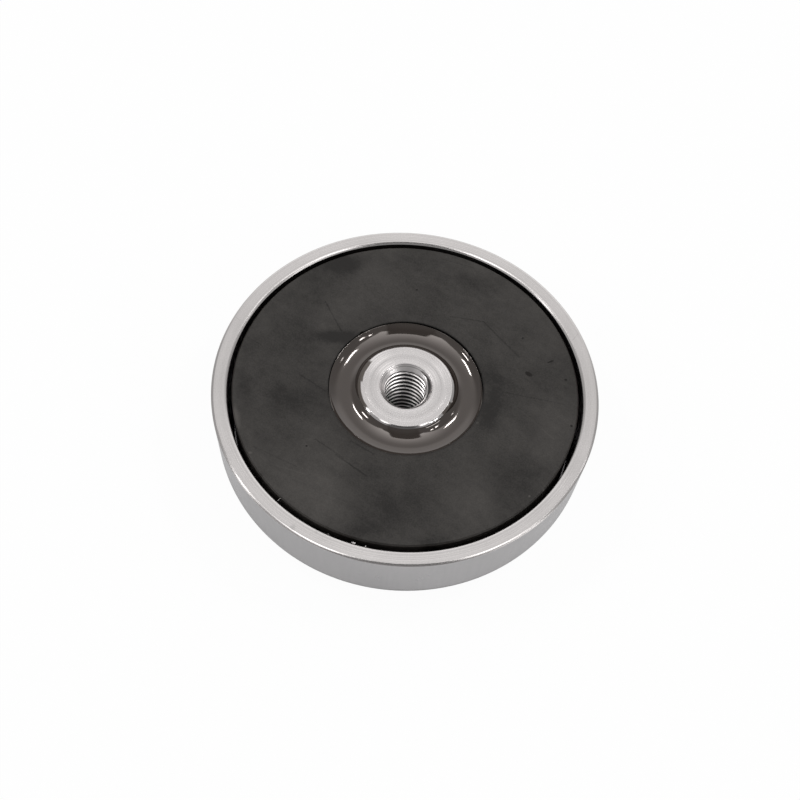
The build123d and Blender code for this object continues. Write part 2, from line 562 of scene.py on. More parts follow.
def withScratches(tree, tone, place, scratches, wander=0.0):
    for startX, startY, endX, endY, width, change in scratches:
        inputs = {"Place": place, "Start": (startX, startY, 0.0), "End": (endX, endY, 0.0),
                  "Width": width, "Wander": wander}
        tone = calc(tree, "MULTIPLY_ADD", placed(tree, lineScratch, inputs)["Line"], change, tone)
    return tone


def arc(tree, place, angle, halfAngle, radius, halfWidth, softness, ragged=0.0):
    inputs = {"Place": place, "Angle": angle, "Half Angle": halfAngle, "Radius": radius,
              "Half Width": halfWidth, "Softness": softness, "Ragged": ragged}
    return placed(tree, arcPatch, inputs)["Patch"]


# Pot: a drawn and plated steel cup with a machined rim.
pot = {
    "wall": 3.2,
    "wallDraft": 0.6,  # the outside is this much smaller in radius at the back
    "backRound": 5.5,
    "innerRound": 0.8,
    "rimBevelWidth": 0.5,
    "outerBevelSlopes": (19.0, 39.0),  # a worn bevel, steeper in its outer half
    "innerBevelSlopes": (27.0, 46.0),
    "bevelRound": 1.4,
    "edgeRound": 0.05,
    "floorHole": 7.02,
    "segments": 768,
    "rimSteel": 0.57,
    "rimSpread": 0.2,  # how far its tone strays, as a share
    "steelTint": (1.045, 0.985),  # red and blue against green
    "plating": 0.385,
    "platingGrain": 0.008,
    "grooveSpacing": 0.3,
    "grooveDepth": 0.03,
    "bevelRoughness": 0.2,
}
rimMarks = [  # x, y, length, width, direction and how much lighter
    (-19.0, -34.3, 1.4, 0.9, 60.0, -0.4), (-14.2, -34.5, 0.9, 0.6, 20.0, -0.35),
]
rimScratches = [  # from x, y to x, y, width and how much lighter
    (35.5, 17.5, 34.3, 15.6, 0.14, -0.3), (-36.4, 12.0, -38.3, 13.4, 0.14, -0.3),
]


def makeRimSteel():
    material, tree, shader, place = newMaterial("groundRimSteel", Metallic=1.0)
    fine = placed(tree, grainAndClouds, {"Place": place, "Grain Size": 0.3, "Cloud Size": 8.0})
    marks = placed(tree, turningMarks, {"Place": place, "Spacing": pot["grooveSpacing"], "Wander": 0.3})
    tone = total(tree, 0.5, aroundZero(tree, fine["Cloud"], 0.5), aroundZero(tree, fine["Grain"], 0.8),
                 aroundZero(tree, marks["Band"], 0.4))
    tone = withPatches(tree, tone, place, rimMarks, 0.6, aroundZero(tree, fine["Grain"], 1.2))
    tone = withScratches(tree, tone, place, rimScratches)
    value, tint = pot["rimSteel"], pot["steelTint"]
    flat = onFace(tree, placed(tree, roundTheAxis, {"Place": place})["Height"])
    colour = shades(tree, tone, value, pot["rimSpread"], tint)
    plug(tree, shader.inputs["Base Color"], mixColour(tree, flat, tinted(value, *tint), colour))
    rough = remap(tree, fine["Cloud"], 0.3, 0.7, 0.1, 0.15)
    plug(tree, shader.inputs["Roughness"], mixValue(tree, flat, pot["bevelRoughness"], rough))
    height = total(tree, aroundZero(tree, fine["Grain"], 0.06), aroundZero(tree, marks["Groove"]))
    addBump(tree, shader, calc(tree, "MULTIPLY", height, flat), pot["grooveDepth"])
    return material


def makePlating():
    material, tree, shader, place = newMaterial("platedSteel", Metallic=1.0)
    fine = placed(tree, grainAndClouds, {"Place": place, "Grain Size": 0.5, "Cloud Size": 6.0, "Seed": 3.0})
    drawn = noise(tree, scaled(tree, place, 1.0, 1.0, 0.08), 1.2, 3.0, 0.6, 8.0)  # streaks up the wall
    tone = total(tree, 0.5, aroundZero(tree, fine["Cloud"], 0.8), aroundZero(tree, drawn, 0.5),
                 aroundZero(tree, fine["Grain"], 0.3))
    value = pot["plating"]
    colour = mixColour(tree, tone, tinted(value * 0.86, 1.02, 1.014), tinted(value * 1.14, 1.03, 1.008))
    plug(tree, shader.inputs["Base Color"], colour)
    plug(tree, shader.inputs["Roughness"], remap(tree, fine["Cloud"], 0.2, 0.8, 0.26, 0.36))
    addBump(tree, shader, calc(tree, "MULTIPLY_ADD", drawn, 0.5, fine["Grain"]), pot["platingGrain"])
    return material


def makePot(rimSteel):
    radius, edge = potHigh.x, pot["edgeRound"]
    inner = radius - pot["wall"]
    width, soft = pot["rimBevelWidth"], pot["bevelRound"]
    half, depth = bevelDepths(width, pot["outerBevelSlopes"])
    innerHalf, innerDepth = bevelDepths(width, pot["innerBevelSlopes"])
    outline = [
        (pot["floorHole"], 0.0, edge),
        (radius - pot["wallDraft"], 0.0, pot["backRound"]),
        (radius, faceHeight - depth, edge),
        (radius - width / 2, faceHeight - half, soft),
        (radius - width, faceHeight, edge),
        (inner + width, faceHeight, edge),
        (inner + width / 2, faceHeight - innerHalf, soft),
        (inner, faceHeight - innerDepth, edge),
        (inner, floorTop, pot["innerRound"]),
        (pot["floorHole"], floorTop, edge),
    ]
    points, tangents = roundedSection(outline)
    mesh = spin("potBody", points, tangents, pot["segments"])
    mesh.materials.append(makePlating())
    mesh.materials.append(rimSteel)
    top = (faceHeight - innerDepth - edge) * mm
    lowest = [min(mesh.vertices[v].co.z for v in face.vertices) for face in mesh.polygons]
    machined = [int(z > top - 1e-9) for z in lowest]
    mesh.polygons.foreach_set("material_index", machined)
    return showPiece("potBody", mesh)


rimSteel = makeRimSteel()
potBody = makePot(rimSteel)
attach(potBody, "root")
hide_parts("pot")
softlyLit.objects.link(potBody)
print("pot made:", len(potBody.data.polygons), "faces")


# Geometry Nodes trees, and the plain meshes that they grow.
def geometryTree(name, inputs):
    tree = bpy.data.node_groups.new(name, "GeometryNodeTree")
    for label, (kind, value) in inputs.items():
        socket = tree.interface.new_socket(label, in_out="INPUT", socket_type="NodeSocket" + kind)
        if value is not None:
            socket.default_value = value
    tree.interface.new_socket("Mesh", in_out="OUTPUT", socket_type="NodeSocketGeometry")
    return tree, addNode(tree, "NodeGroupInput").outputs, addNode(tree, "NodeGroupOutput").inputs


def onCylinder(tree, radius, angle, height):  # a place in metres from a radius and height in millimetres
    x = calc(tree, "MULTIPLY", radius, calc(tree, "COSINE", angle))
    y = calc(tree, "MULTIPLY", radius, calc(tree, "SINE", angle))
    return scaled(tree, combined(tree, x, y, height), mm, mm, mm)


def finishTree(tree, geometry, material, out):
    real = addNode(tree, "GeometryNodeRealizeInstances", {0: geometry}).outputs[0]
    painted = addNode(tree, "GeometryNodeSetMaterial", {"Geometry": real, "Material": material})
    plug(tree, out["Mesh"], painted.outputs[0])


def grownMesh(name, tree, values):
    holder = bpy.data.objects.new(name, bpy.data.meshes.new(name))
    bpy.context.scene.collection.objects.link(holder)
    modifier = holder.modifiers.new(name, "NODES")
    modifier.node_group = tree
    for item in tree.interface.items_tree:
        if item.item_type == "SOCKET" and item.in_out == "INPUT" and item.name in values:
            modifier[item.identifier] = values[item.name]
    evaluated = holder.evaluated_get(bpy.context.evaluated_depsgraph_get())
    mesh = bpy.data.meshes.new_from_object(evaluated)
    holder.modifiers.remove(modifier)
    bpy.data.objects.remove(holder)
    return mesh


def joinMeshes(name, meshes, material, gap=0.0):
    joined = bmesh.new()
    for mesh in meshes:
        joined.from_mesh(mesh)
    if gap:
        bmesh.ops.remove_doubles(joined, verts=joined.verts, dist=gap)
        bmesh.ops.recalc_face_normals(joined, faces=joined.faces)
    mesh = bpy.data.meshes.new(name)
    joined.to_mesh(mesh)
    joined.free()
    mesh.materials.append(material)
    mesh.polygons.foreach_set("material_index", [0] * len(mesh.polygons))
    mesh.polygons.foreach_set("use_smooth", [True] * len(mesh.polygons))
    return mesh


# Burrs: specks of torn steel left on the rim's inner edge.
burrs = {
    "height": 0.12,  # of their middles below the face
    "seed": 11,
}
burrPlaces = {  # angle, spread, radius, how many, size and stretch across the rim
    "largest": (258.7, 0.75, 36.74, 5, 0.13, 1.3),
    "beside": (262.6, 0.35, 36.8, 2, 0.09, 1.2),
    "left": (250.9, 0.3, 36.8, 1, 0.09, 1.2),
    "fibre": (231.9, 0.1, 36.3, 1, 0.035, 14.0),
}


def burrTree():
    inputs = {
        "Angle": ("Float", 0.0), "Spread": ("Float", 1.0), "Radius": ("Float", 36.8),
        "Height": ("Float", 18.0),
        "Count": ("Int", 3), "Size": ("Float", 0.1), "Stretch": ("Float", 1.0), "Seed": ("Int", 0),
        "Material": ("Material", None),
    }
    tree, given, out = geometryTree("edgeBurrs", inputs)

    def randomValue(low, high, offset):
        seed = calc(tree, "ADD", given["Seed"], offset)
        node = addNode(tree, "FunctionNodeRandomValue", {"Seed": seed}, data_type="FLOAT")
        plug(tree, node.inputs[2], low)
        plug(tree, node.inputs[3], high)
        return node.outputs[1]

    turn = calc(tree, "MULTIPLY", given["Spread"], randomValue(-1.0, 1.0, 0))
    turn = calc(tree, "RADIANS", calc(tree, "ADD", given["Angle"], turn))
    place = onCylinder(tree, given["Radius"], turn, given["Height"])
    points = addNode(tree, "GeometryNodePoints", {"Count": given["Count"], "Position": place}).outputs[0]
    size = calc(tree, "MULTIPLY", given["Size"], mm)
    ball = addNode(tree, "GeometryNodeMeshIcoSphere", {"Radius": size, "Subdivisions": 3}).outputs[0]
    normal = addNode(tree, "GeometryNodeInputNormal").outputs[0]
    bumps = addNode(tree, "ShaderNodeTexNoise", {"Scale": 9.0 / mm, "Detail": 1.0}).outputs[0]
    amount = calc(tree, "MULTIPLY", aroundZero(tree, bumps, 1.2), size)
    offset = stretched(tree, normal, amount)
    lump = addNode(tree, "GeometryNodeSetPosition", {"Geometry": ball, "Offset": offset}).outputs[0]
    lean = randomValue(-0.3, 0.3, 1)
    width = randomValue(0.7, 1.2, 2)
    length = calc(tree, "MULTIPLY", width, given["Stretch"])
    inputs = {"Points": points, "Instance": lump, "Rotation": combined(tree, lean, lean, turn),
              "Scale": combined(tree, length, width, width)}
    spread = addNode(tree, "GeometryNodeInstanceOnPoints", inputs).outputs[0]
    finishTree(tree, spread, given["Material"], out)
    return tree


def makeBurrs():
    tree = burrTree()
    grown = []
    for i, (name, (angle, spread, radius, count, size, stretch)) in enumerate(burrPlaces.items()):
        values = {
            "Angle": angle, "Spread": spread, "Radius": radius, "Height": faceHeight - burrs["height"],
            "Count": count, "Size": size, "Stretch": stretch, "Seed": burrs["seed"] + 10 * i,
            "Material": rimSteel,
        }
        grown.append(grownMesh(name, tree, values))
    return showPiece("rimBurrs", joinMeshes("rimBurrs", grown, rimSteel))


rimBurrs = makeBurrs()
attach(rimBurrs, "root")
softlyLit.objects.link(rimBurrs)
print("burrs made:", len(rimBurrs.data.polygons), "faces")


# Ring magnet: sintered ferrite, ground flat, handled and a little scuffed.
ferrite = {
    "edgeBreak": 0.3,
    "boreBreak": 0.1,
    "edgeRound": 0.04,
    "segments": 768,
    "colour": 0.0215,
    "contrast": 0.29,
    "clouds": 4.5,  # how strongly each kind of mark shows
    "grain": 2.6,
    "wiping": 1.6,
    "wipedTowards": 30.0,
    # painted shade in the pits, against the other marks
    "pitShade": -2.2,
    # how much darker the face is towards the bore
    "boreDarkening": -0.8,
    "sheen": 0.27,
    "roughness": 0.42,
    "grainDepth": 0.012,
    "edgeWear": 0.03,
}
ferriteSmudges = [  # x, y, length, width, direction and how much lighter
    (-17.0, 29.5, 9.0, 4.5, 10.0, -1.4), (-23.0, 18.0, 12.0, 6.0, 80.0, -0.54),
    (-12.5, 20.0, 13.0, 9.0, 60.0, 0.8), (-15.5, 10.4, 8.0, 2.6, 5.0, -1.9),
    (-31.0, 12.0, 8.0, 3.0, 80.0, 0.26), (-23.0, -4.5, 14.0, 7.0, 170.0, -0.5),
    (-33.0, -5.0, 8.0, 4.0, 100.0, -0.6), (-17.0, -14.5, 12.0, 6.0, 145.0, 0.59),
    (-19.0, -25.0, 18.0, 12.0, 150.0, 1.15), (-5.0, -29.0, 14.0, 8.0, 100.0, -0.6),
    (-6.0, -33.5, 6.0, 3.0, 10.0, -0.72), (5.0, -28.0, 12.0, 8.0, 20.0, -0.48),
    (8.5, -33.8, 5.0, 2.5, 15.0, -1.08), (14.5, -24.0, 11.0, 9.0, 100.0, 0.59),
    (24.5, -18.0, 9.0, 8.0, 40.0, -0.54), (31.0, -5.0, 14.0, 6.0, 85.0, 0.52),
    (17.5, -4.0, 12.0, 4.0, 75.0, -1.1), (24.0, 20.5, 13.0, 9.0, 150.0, 0.52),
    (11.5, 28.0, 11.0, 4.5, 165.0, -0.8), (-33.6, -11.2, 4.2, 1.3, 108.0, 2.0),
    (-29.5, -19.0, 0.6, 0.5, 0.0, 2.5), (26.4, -22.3, 0.4, 0.4, 0.0, 3.0), (15.2, -6.9, 0.5, 0.4, 0.0, 1.5),
    (17.3, 31.0, 1.4, 0.3, 150.0, 2.0), (29.2, -20.6, 0.5, 0.4, 0.0, 3.0),
    (17.0, 6.0, 10.0, 3.0, 105.0, -0.6),
]
ferriteScratches = [  # from x, y to x, y, width and how much lighter
    (-19.0, 19.0, -14.8, 12.0, 0.3, -0.9), (-22.0, 0.2, -16.5, -3.0, 0.25, -0.8),
    (-17.0, -14.5, -11.0, -18.0, 0.25, -0.8), (-12.5, -17.5, -6.0, -21.5, 0.3, -1.2),
    (-10.0, -14.0, -5.0, -16.5, 0.25, -0.9), (-14.0, -26.5, -9.0, -28.0, 0.2, 0.5),
    (8.0, 18.5, 15.0, 18.0, 0.35, -0.7), (15.0, 18.0, 20.0, 13.0, 0.35, -0.8),
    (20.0, 13.0, 23.0, 10.0, 0.35, -0.7), (5.0, 33.5, 12.0, 32.0, 0.25, -0.5),
    (-34.0, 8.0, -31.0, 6.5, 0.2, -0.5), (-29.0, -17.5, -20.0, -21.0, 0.25, -0.6),
    (-25.0, -21.0, -18.0, -22.5, 0.2, 0.5), (20.0, 1.0, 33.0, -0.5, 0.25, -0.5),
    (24.0, -3.0, 31.0, -9.0, 0.2, 0.4),
]
ferritePits = [  # x, y, length, width, direction and how deep against the others
    (0.2, 24.5, 0.45, 0.4, 0.0, 1.0), (23.6, 14.8, 0.45, 0.4, 0.0, 1.0),
    (25.2, 6.0, 1.5, 0.95, 150.0, 1.0), (33.0, 5.5, 0.6, 0.5, 0.0, 1.0),
    (29.7, 9.6, 1.3, 0.4, 30.0, 1.0), (34.4, -5.4, 0.5, 0.5, 0.0, 1.0),
    (-18.6, -16.2, 0.45, 0.4, 0.0, 1.0),
]
ferriteChips = [  # angle, half angle, how far in from the edge, and 1 for the outer or -1 for the bore
    (131.0, 1.1, 0.3, -1), (61.0, 0.5, 0.15, 1), (222.0, 0.6, 0.12, 1), (300.0, 0.9, 0.1, 1),
    (18.0, 1.2, 0.12, -1), (206.0, 0.9, 0.14, -1),
]


def makeFerrite():
    material, tree, shader, place = newMaterial("sinteredFerrite", Metallic=0.0)
    shader.inputs["Specular IOR Level"].default_value = ferrite["sheen"]
    polar = placed(tree, roundTheAxis, {"Place": place})
    fine = placed(tree, grainAndClouds, {"Place": place, "Grain Size": 0.25, "Seed": 1.0})
    ragged = aroundZero(tree, noise(tree, place, 0.3, 5.0, 0.6, 2.0), 1.6)
    clouds = noise(tree, place, 0.09, 7.0, 0.72, 1.0)
    turned = rotated(tree, place, math.radians(ferrite["wipedTowards"]))
    wiped = noise(tree, scaled(tree, turned, 0.25, 1.0, 1.0), 0.5, 4.0, 0.65, 4.0)
    tone = total(tree, aroundZero(tree, clouds, ferrite["clouds"]),
                 aroundZero(tree, fine["Grain"], ferrite["grain"]),
                 aroundZero(tree, wiped, ferrite["wiping"]))
    tone = withPatches(tree, tone, place, ferriteSmudges, 0.85, ragged)
    wander = aroundZero(tree, fine["Grain"], 0.25)
    tone = withScratches(tree, tone, place, ferriteScratches, wander)
    hollow = withPatches(tree, 0.0, place, ferritePits, 0.35, wander)
    # The pits are painted darker, as the shade in their hollows.
    tone = calc(tree, "MULTIPLY_ADD", hollow, ferrite["pitShade"], tone)
    # The face is darker towards the bore.
    darkening = remap(tree, polar["Radius"], boreRadius, boreRadius + 0.6, 1.0, 0.0)
    tone = calc(tree, "MULTIPLY_ADD", darkening, ferrite["boreDarkening"], tone)
    share = calc(tree, "MULTIPLY_ADD", tone, ferrite["contrast"], 0.35, clamp=True)
    value = ferrite["colour"]
    colour = mixColour(tree, share, tinted(value * 0.06, 2.0, 0.3), tinted(value * 2.9, 1.09, 0.92))
    # Painted shade: the bore's wall above the resin is painted nearly black, as the shadow in that gap.
    side = remap(tree, polar["Radius"], boreRadius, boreRadius + 0.15, 1.0, 0.0)
    below = remap(tree, polar["Height"], ringHigh.z - 0.1, ringHigh.z - 0.02, 1.0, 0.0)
    side = calc(tree, "MULTIPLY", side, below)  # the bore's wall, dark behind the resin
    colour = mixColour(tree, side, colour, tinted(value * 0.1))
    plug(tree, shader.inputs["Base Color"], colour)
    rough = ferrite["roughness"]
    rough = remap(tree, tone, -1.5, 1.5, rough + 0.08, rough - 0.08)
    plug(tree, shader.inputs["Roughness"], calc(tree, "MULTIPLY_ADD", hollow, 0.25, rough, clamp=True))
    height = calc(tree, "MULTIPLY_ADD", hollow, -4.0, fine["Grain"])
    addBump(tree, shader, height, ferrite["grainDepth"])
    return material


def makeRing():
    outer, top, low = ringHigh.x, ringHigh.z, ringLow.z
    cut, boreCut, edge = ferrite["edgeBreak"], ferrite["boreBreak"], ferrite["edgeRound"]
    outline = [
        (boreRadius + boreCut, low, edge),
        (outer - cut, low, edge),
        (outer, low + cut, edge),
        (outer, top - cut, edge),
        (outer - cut, top, edge),
        (boreRadius + boreCut, top, edge),
        (boreRadius, top - boreCut, edge),
        (boreRadius, low + boreCut, edge),
    ]
    draws = np.random.default_rng(5)
    waves = [(n, draws.uniform(0, 2 * math.pi), draws.uniform(0.3, 1)) for n in (31, 57, 89, 143, 211)]

    def chipped(radius, height, angle):
        wear = sum(size * np.sin(n * angle + start) for n, start, size in waves) * ferrite["edgeWear"] / 2
        nearEdge = np.clip(1 - (top - height) / (2 * cut), 0, 1)
        for side, reach in ((1, outer - radius), (-1, radius - boreRadius)):
            share = nearEdge * np.clip(1 - reach / (3 * cut), 0, 1)
            cutAway = np.maximum(wear, 0) * share
            for place, halfAngle, depth, chipSide in ferriteChips:
                if chipSide == side:
                    away = (np.degrees(angle) - place) / halfAngle
                    cutAway = cutAway + depth * np.exp(-away ** 2) * share
            radius = radius - side * cutAway
        return radius, height

    points, tangents = roundedSection(outline)
    mesh = spin("ferriteRing", points, tangents, ferrite["segments"], chipped)
    mesh.materials.append(makeFerrite())
    return showPiece("ferriteRing", mesh)


ferriteRing = makeRing()
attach(ferriteRing, "root")
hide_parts("ring_magnet")
crisplyLit.objects.link(ferriteRing)
print("ring magnet made:", len(ferriteRing.data.polygons), "faces")


# Potting resin: poured between bush and ring, drawn up at both walls.
resin = {
    "lowest": 1.93,  # below the holding face, before the surface's slight tilt
    "valleyRadius": 12.64,  # of the ring where the surface is lowest
    "valleyShift": (0.16, -0.5),
    "tilt": (-0.015, -0.017),
    "sagTowardsRing": 4.66,  # radius of the sagging arc
    "sagTowardsBush": 4.07,
    "bushContact": (0.3, 0.55),  # highest and lowest, below the holding face
    "bushClimb": 0.6,  # how far from the bush the surface begins to climb
    "ringContact": (0.15, 0.5),
    "ringClimb": 0.2,
    "creviceDepth": 0.7,  # the resin has drawn back from the ring on the far side
    "creviceWidth": 0.09,
    "ripple": 0.0012,
    "steps": 72,
    "segments": 720,
    "colour": 0.0199,
    "spread": 0.15,
    "tint": (1.3, 0.84),
    "waviness": 0.01,
    "gloss": 0.05,
    "shine": 0.98,
    "shineTint": (1.0, 0.917, 0.875, 1.0),
}


def makeResinMaterial():
    material, tree, shader, place = newMaterial("brownResin", Metallic=0.0)
    shader.inputs["Specular IOR Level"].default_value = resin["shine"]
    shader.inputs["Specular Tint"].default_value = resin["shineTint"]
    fine = placed(tree, grainAndClouds, {"Place": place, "Grain Size": 0.4, "Cloud Size": 3.0, "Seed": 6.0})
    tone = total(tree, 0.5, aroundZero(tree, fine["Cloud"], 1.2), aroundZero(tree, fine["Grain"], 0.5))
    colour = shades(tree, tone, resin["colour"], resin["spread"], resin["tint"])
    plug(tree, shader.inputs["Base Color"], colour)
    gloss = resin["gloss"]
    plug(tree, shader.inputs["Roughness"], remap(tree, fine["Cloud"], 0.2, 0.8, gloss, gloss * 1.6))
    addBump(tree, shader, fine["Cloud"], resin["waviness"])
    return material


def makeResin():
    inner, outer = bushHigh.x, boreRadius
    shiftX, shiftY = resin["valleyShift"]
    tiltX, tiltY = resin["tilt"]
    draws = np.random.default_rng(3)
    waves = [(*draws.normal(0, 0.9, 2), draws.uniform(0, 2 * math.pi)) for _ in range(9)]

    def sagging(radius, angle):
        away = radius - resin["valleyRadius"] - shiftX * np.cos(angle) - shiftY * np.sin(angle)
        sag = np.where(away > 0, resin["sagTowardsRing"], resin["sagTowardsBush"])
        rise = sag - np.sqrt(sag ** 2 - away ** 2)
        return rise - resin["lowest"] + radius * (tiltX * np.cos(angle) + tiltY * np.sin(angle))

    def surface(radius, height, angle):
        level = sagging(radius, angle)
        for wall in ("bush", "ring"):
            atWall = outer if wall == "ring" else inner
            highest, lowest = resin[wall + "Contact"]
            here = sagging(atWall, angle)
            climb = np.clip(here, -lowest, -highest) - here
            level = level + climb * np.exp(-abs(radius - atWall) / resin[wall + "Climb"])
        drawnBack = np.clip((np.sin(angle) + 0.5) / 0.8, 0, 1)
        drawnBack = drawnBack * np.exp(-((outer - radius) / resin["creviceWidth"]) ** 2)
        level = level - resin["creviceDepth"] * drawnBack
        x, y = radius * np.cos(angle), radius * np.sin(angle)
        for waveX, waveY, start in waves:
            level = level + resin["ripple"] * np.sin(waveX * x + waveY * y + start)
        return radius, np.where(height > resinLow.z + 1, faceHeight + level, height)

    reach = np.linspace(0, 1, resin["steps"] + 1)
    reach = outer + (inner - outer) * (0.8 * reach + 0.2 * (1 - np.cos(math.pi * reach)) / 2)
    points = [(radius, resinHigh.z) for radius in reach]
    points += [(inner, resinHigh.z), (inner, resinLow.z), (inner, resinLow.z)]
    points += [(outer, resinLow.z), (outer, resinLow.z), (outer, resinHigh.z)]
    points = np.array(points)
    mesh = spin("pottedResin", points, np.zeros_like(points), resin["segments"], surface)
    mesh.materials.append(makeResinMaterial())
    return showPiece("pottedResin", mesh)


pottedResin = makeResin()
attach(pottedResin, "root")
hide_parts("potting_resin")
crisplyLit.objects.link(pottedResin)
print("resin made:", len(pottedResin.data.polygons), "faces")


# Threaded bush: turned steel, countersunk and tapped right through.
bush = {
    "bevelWidth": 0.5,
    "bevelSlopes": (30.0, 38.0),
    "bevelRound": 1.4,
    "edgeRound": 0.05,
    "minorRadius": 4.3,
    "majorRadius": 5.0,
    "pitch": 1.5,
    "faceMouth": 5.5,  # radius
    "backMouth": 5.25,
    "spigotRadius": 7.0,
    "spigotEdge": 0.3,
    "threadStart": 0.57,  # of a pitch
    "segments": 192,
    "rowsPerPitch": 16,
    "sharpAngle": 25.0,
    "steel": 0.535,
    "spread": 0.16,  # how far its tone strays, as a share
    "steelTint": (1.045, 0.99),  # red and blue against green
    "sheenTone": 1.5,  # of the brightest turned steel, as a share of the rest
    "mouthTone": 0.85,  # of the darkest streaks in the countersink
    # the colour of painted shade on the bevel, as a share of the steel's
    "paintedShadeTone": 0.2,
    "tappedSteel": 0.95,
    # the colour of painted shade on the thread's crests and in its roots
    "threadShadeColour": 0.07,
    "crestBand": (0.06, 0.12),  # above the minor radius
    "rootBand": (0.26, 0.36),
    "tappedRoughness": 0.34,
    "bevelRoughness": 0.1,
    "mouthRoughness": 0.3,
    # painted shade on the bush's bevel, darker at its near side
    "bevelPaintedShade": (269.0, 17.0, 0.55),  # angle, half angle and how dark, on the bevel
    # painted shade that dims the thread's shine on one side
    "threadPaintedShade": (8.0, 24.0, 0.6),  # angle, half angle and how dark, on the thread
    "grooveSpacing": 0.36,
    "grooveDepth": 0.055,
    "smearTone": 3.4,  # a smear of resin, as a share of the resin's colour
    "smearTint": (1.2, 0.86),
}
resinSmears = {  # on the bush's bevel: angle, half angle, radius and half width
    "upperLeft": (163.0, 17.0, 9.65, 0.6),
    "left": (198.0, 20.0, 9.8, 0.4),
    "right": (335.0, 10.0, 9.85, 0.35),
    "far": (92.0, 3.0, 9.8, 0.25),
}
# Painted sheen: two arcs of the turned face are painted paler, as if they shone more.
turningSheen = {  # where the turned face shines more: angle, half angle, radius, half width, how much
    "right": (31.0, 17.0, 7.5, 3.0, 0.3),
    "left": (140.0, 17.0, 7.5, 3.0, 0.4),
}


def threadTree():
    inputs = {
        "Minor Radius": ("Float", 4.25), "Major Radius": ("Float", 5.0), "Pitch": ("Float", 1.5),
        "First Turn": ("Float", -1.5), "Turns": ("Int", 14), "Rows Per Turn": ("Int", 16),
        "Low End": ("Float", 0.25), "High End": ("Float", 17.5), "Segments": ("Int", 192),
        "Material": ("Material", None),
    }
    tree, given, out = geometryTree("tappedBore", inputs)
    columns = calc(tree, "ADD", given["Segments"], 1)
    rows = calc(tree, "MULTIPLY_ADD", given["Turns"], given["Rows Per Turn"], 1)
    inputs = {"Size X": 1.0, "Size Y": 1.0, "Vertices X": columns, "Vertices Y": rows}
    grid = addNode(tree, "GeometryNodeMeshGrid", inputs).outputs[0]
    position = addNode(tree, "GeometryNodeInputPosition").outputs[0]
    parts = split(tree, position)
    turn = calc(tree, "ADD", parts[0], 0.5)  # 0 to 1 round the axis
    climbed = calc(tree, "MULTIPLY", calc(tree, "ADD", parts[1], 0.5), given["Turns"])  # in whole pitches
    phase = calc(tree, "FRACT", climbed)
    height = total(tree, climbed, turn, given["First Turn"])
    height = calc(tree, "MULTIPLY", height, given["Pitch"])
    height = calc(tree, "MAXIMUM", calc(tree, "MINIMUM", height, given["High End"]), given["Low End"])
    fromCrest = calc(tree, "ABSOLUTE", calc(tree, "SUBTRACT", phase, 0.5))  # 0 on the crest, 0.5 in the root
    inputs = {"Value": fromCrest, "From Min": 1 / 8, "From Max": 7 / 16,
              "To Min": given["Minor Radius"], "To Max": given["Major Radius"]}
    depth = addNode(tree, "ShaderNodeMapRange", inputs).outputs[0]
    major = given["Major Radius"]
    faceCone = calc(tree, "SUBTRACT", major, calc(tree, "SUBTRACT", given["High End"], height))
    backCone = calc(tree, "SUBTRACT", major, calc(tree, "SUBTRACT", height, given["Low End"]))
    radius = calc(tree, "MAXIMUM", depth, calc(tree, "MAXIMUM", faceCone, backCone))
    place = onCylinder(tree, radius, calc(tree, "MULTIPLY", turn, 2 * math.pi), height)
    moved = addNode(tree, "GeometryNodeSetPosition", {"Geometry": grid, "Position": place}).outputs[0]
    inputs = {"Geometry": moved, "Distance": 0.003 * mm}
    merged = addNode(tree, "GeometryNodeMergeByDistance", inputs).outputs[0]
    finishTree(tree, merged, given["Material"], out)
    return tree


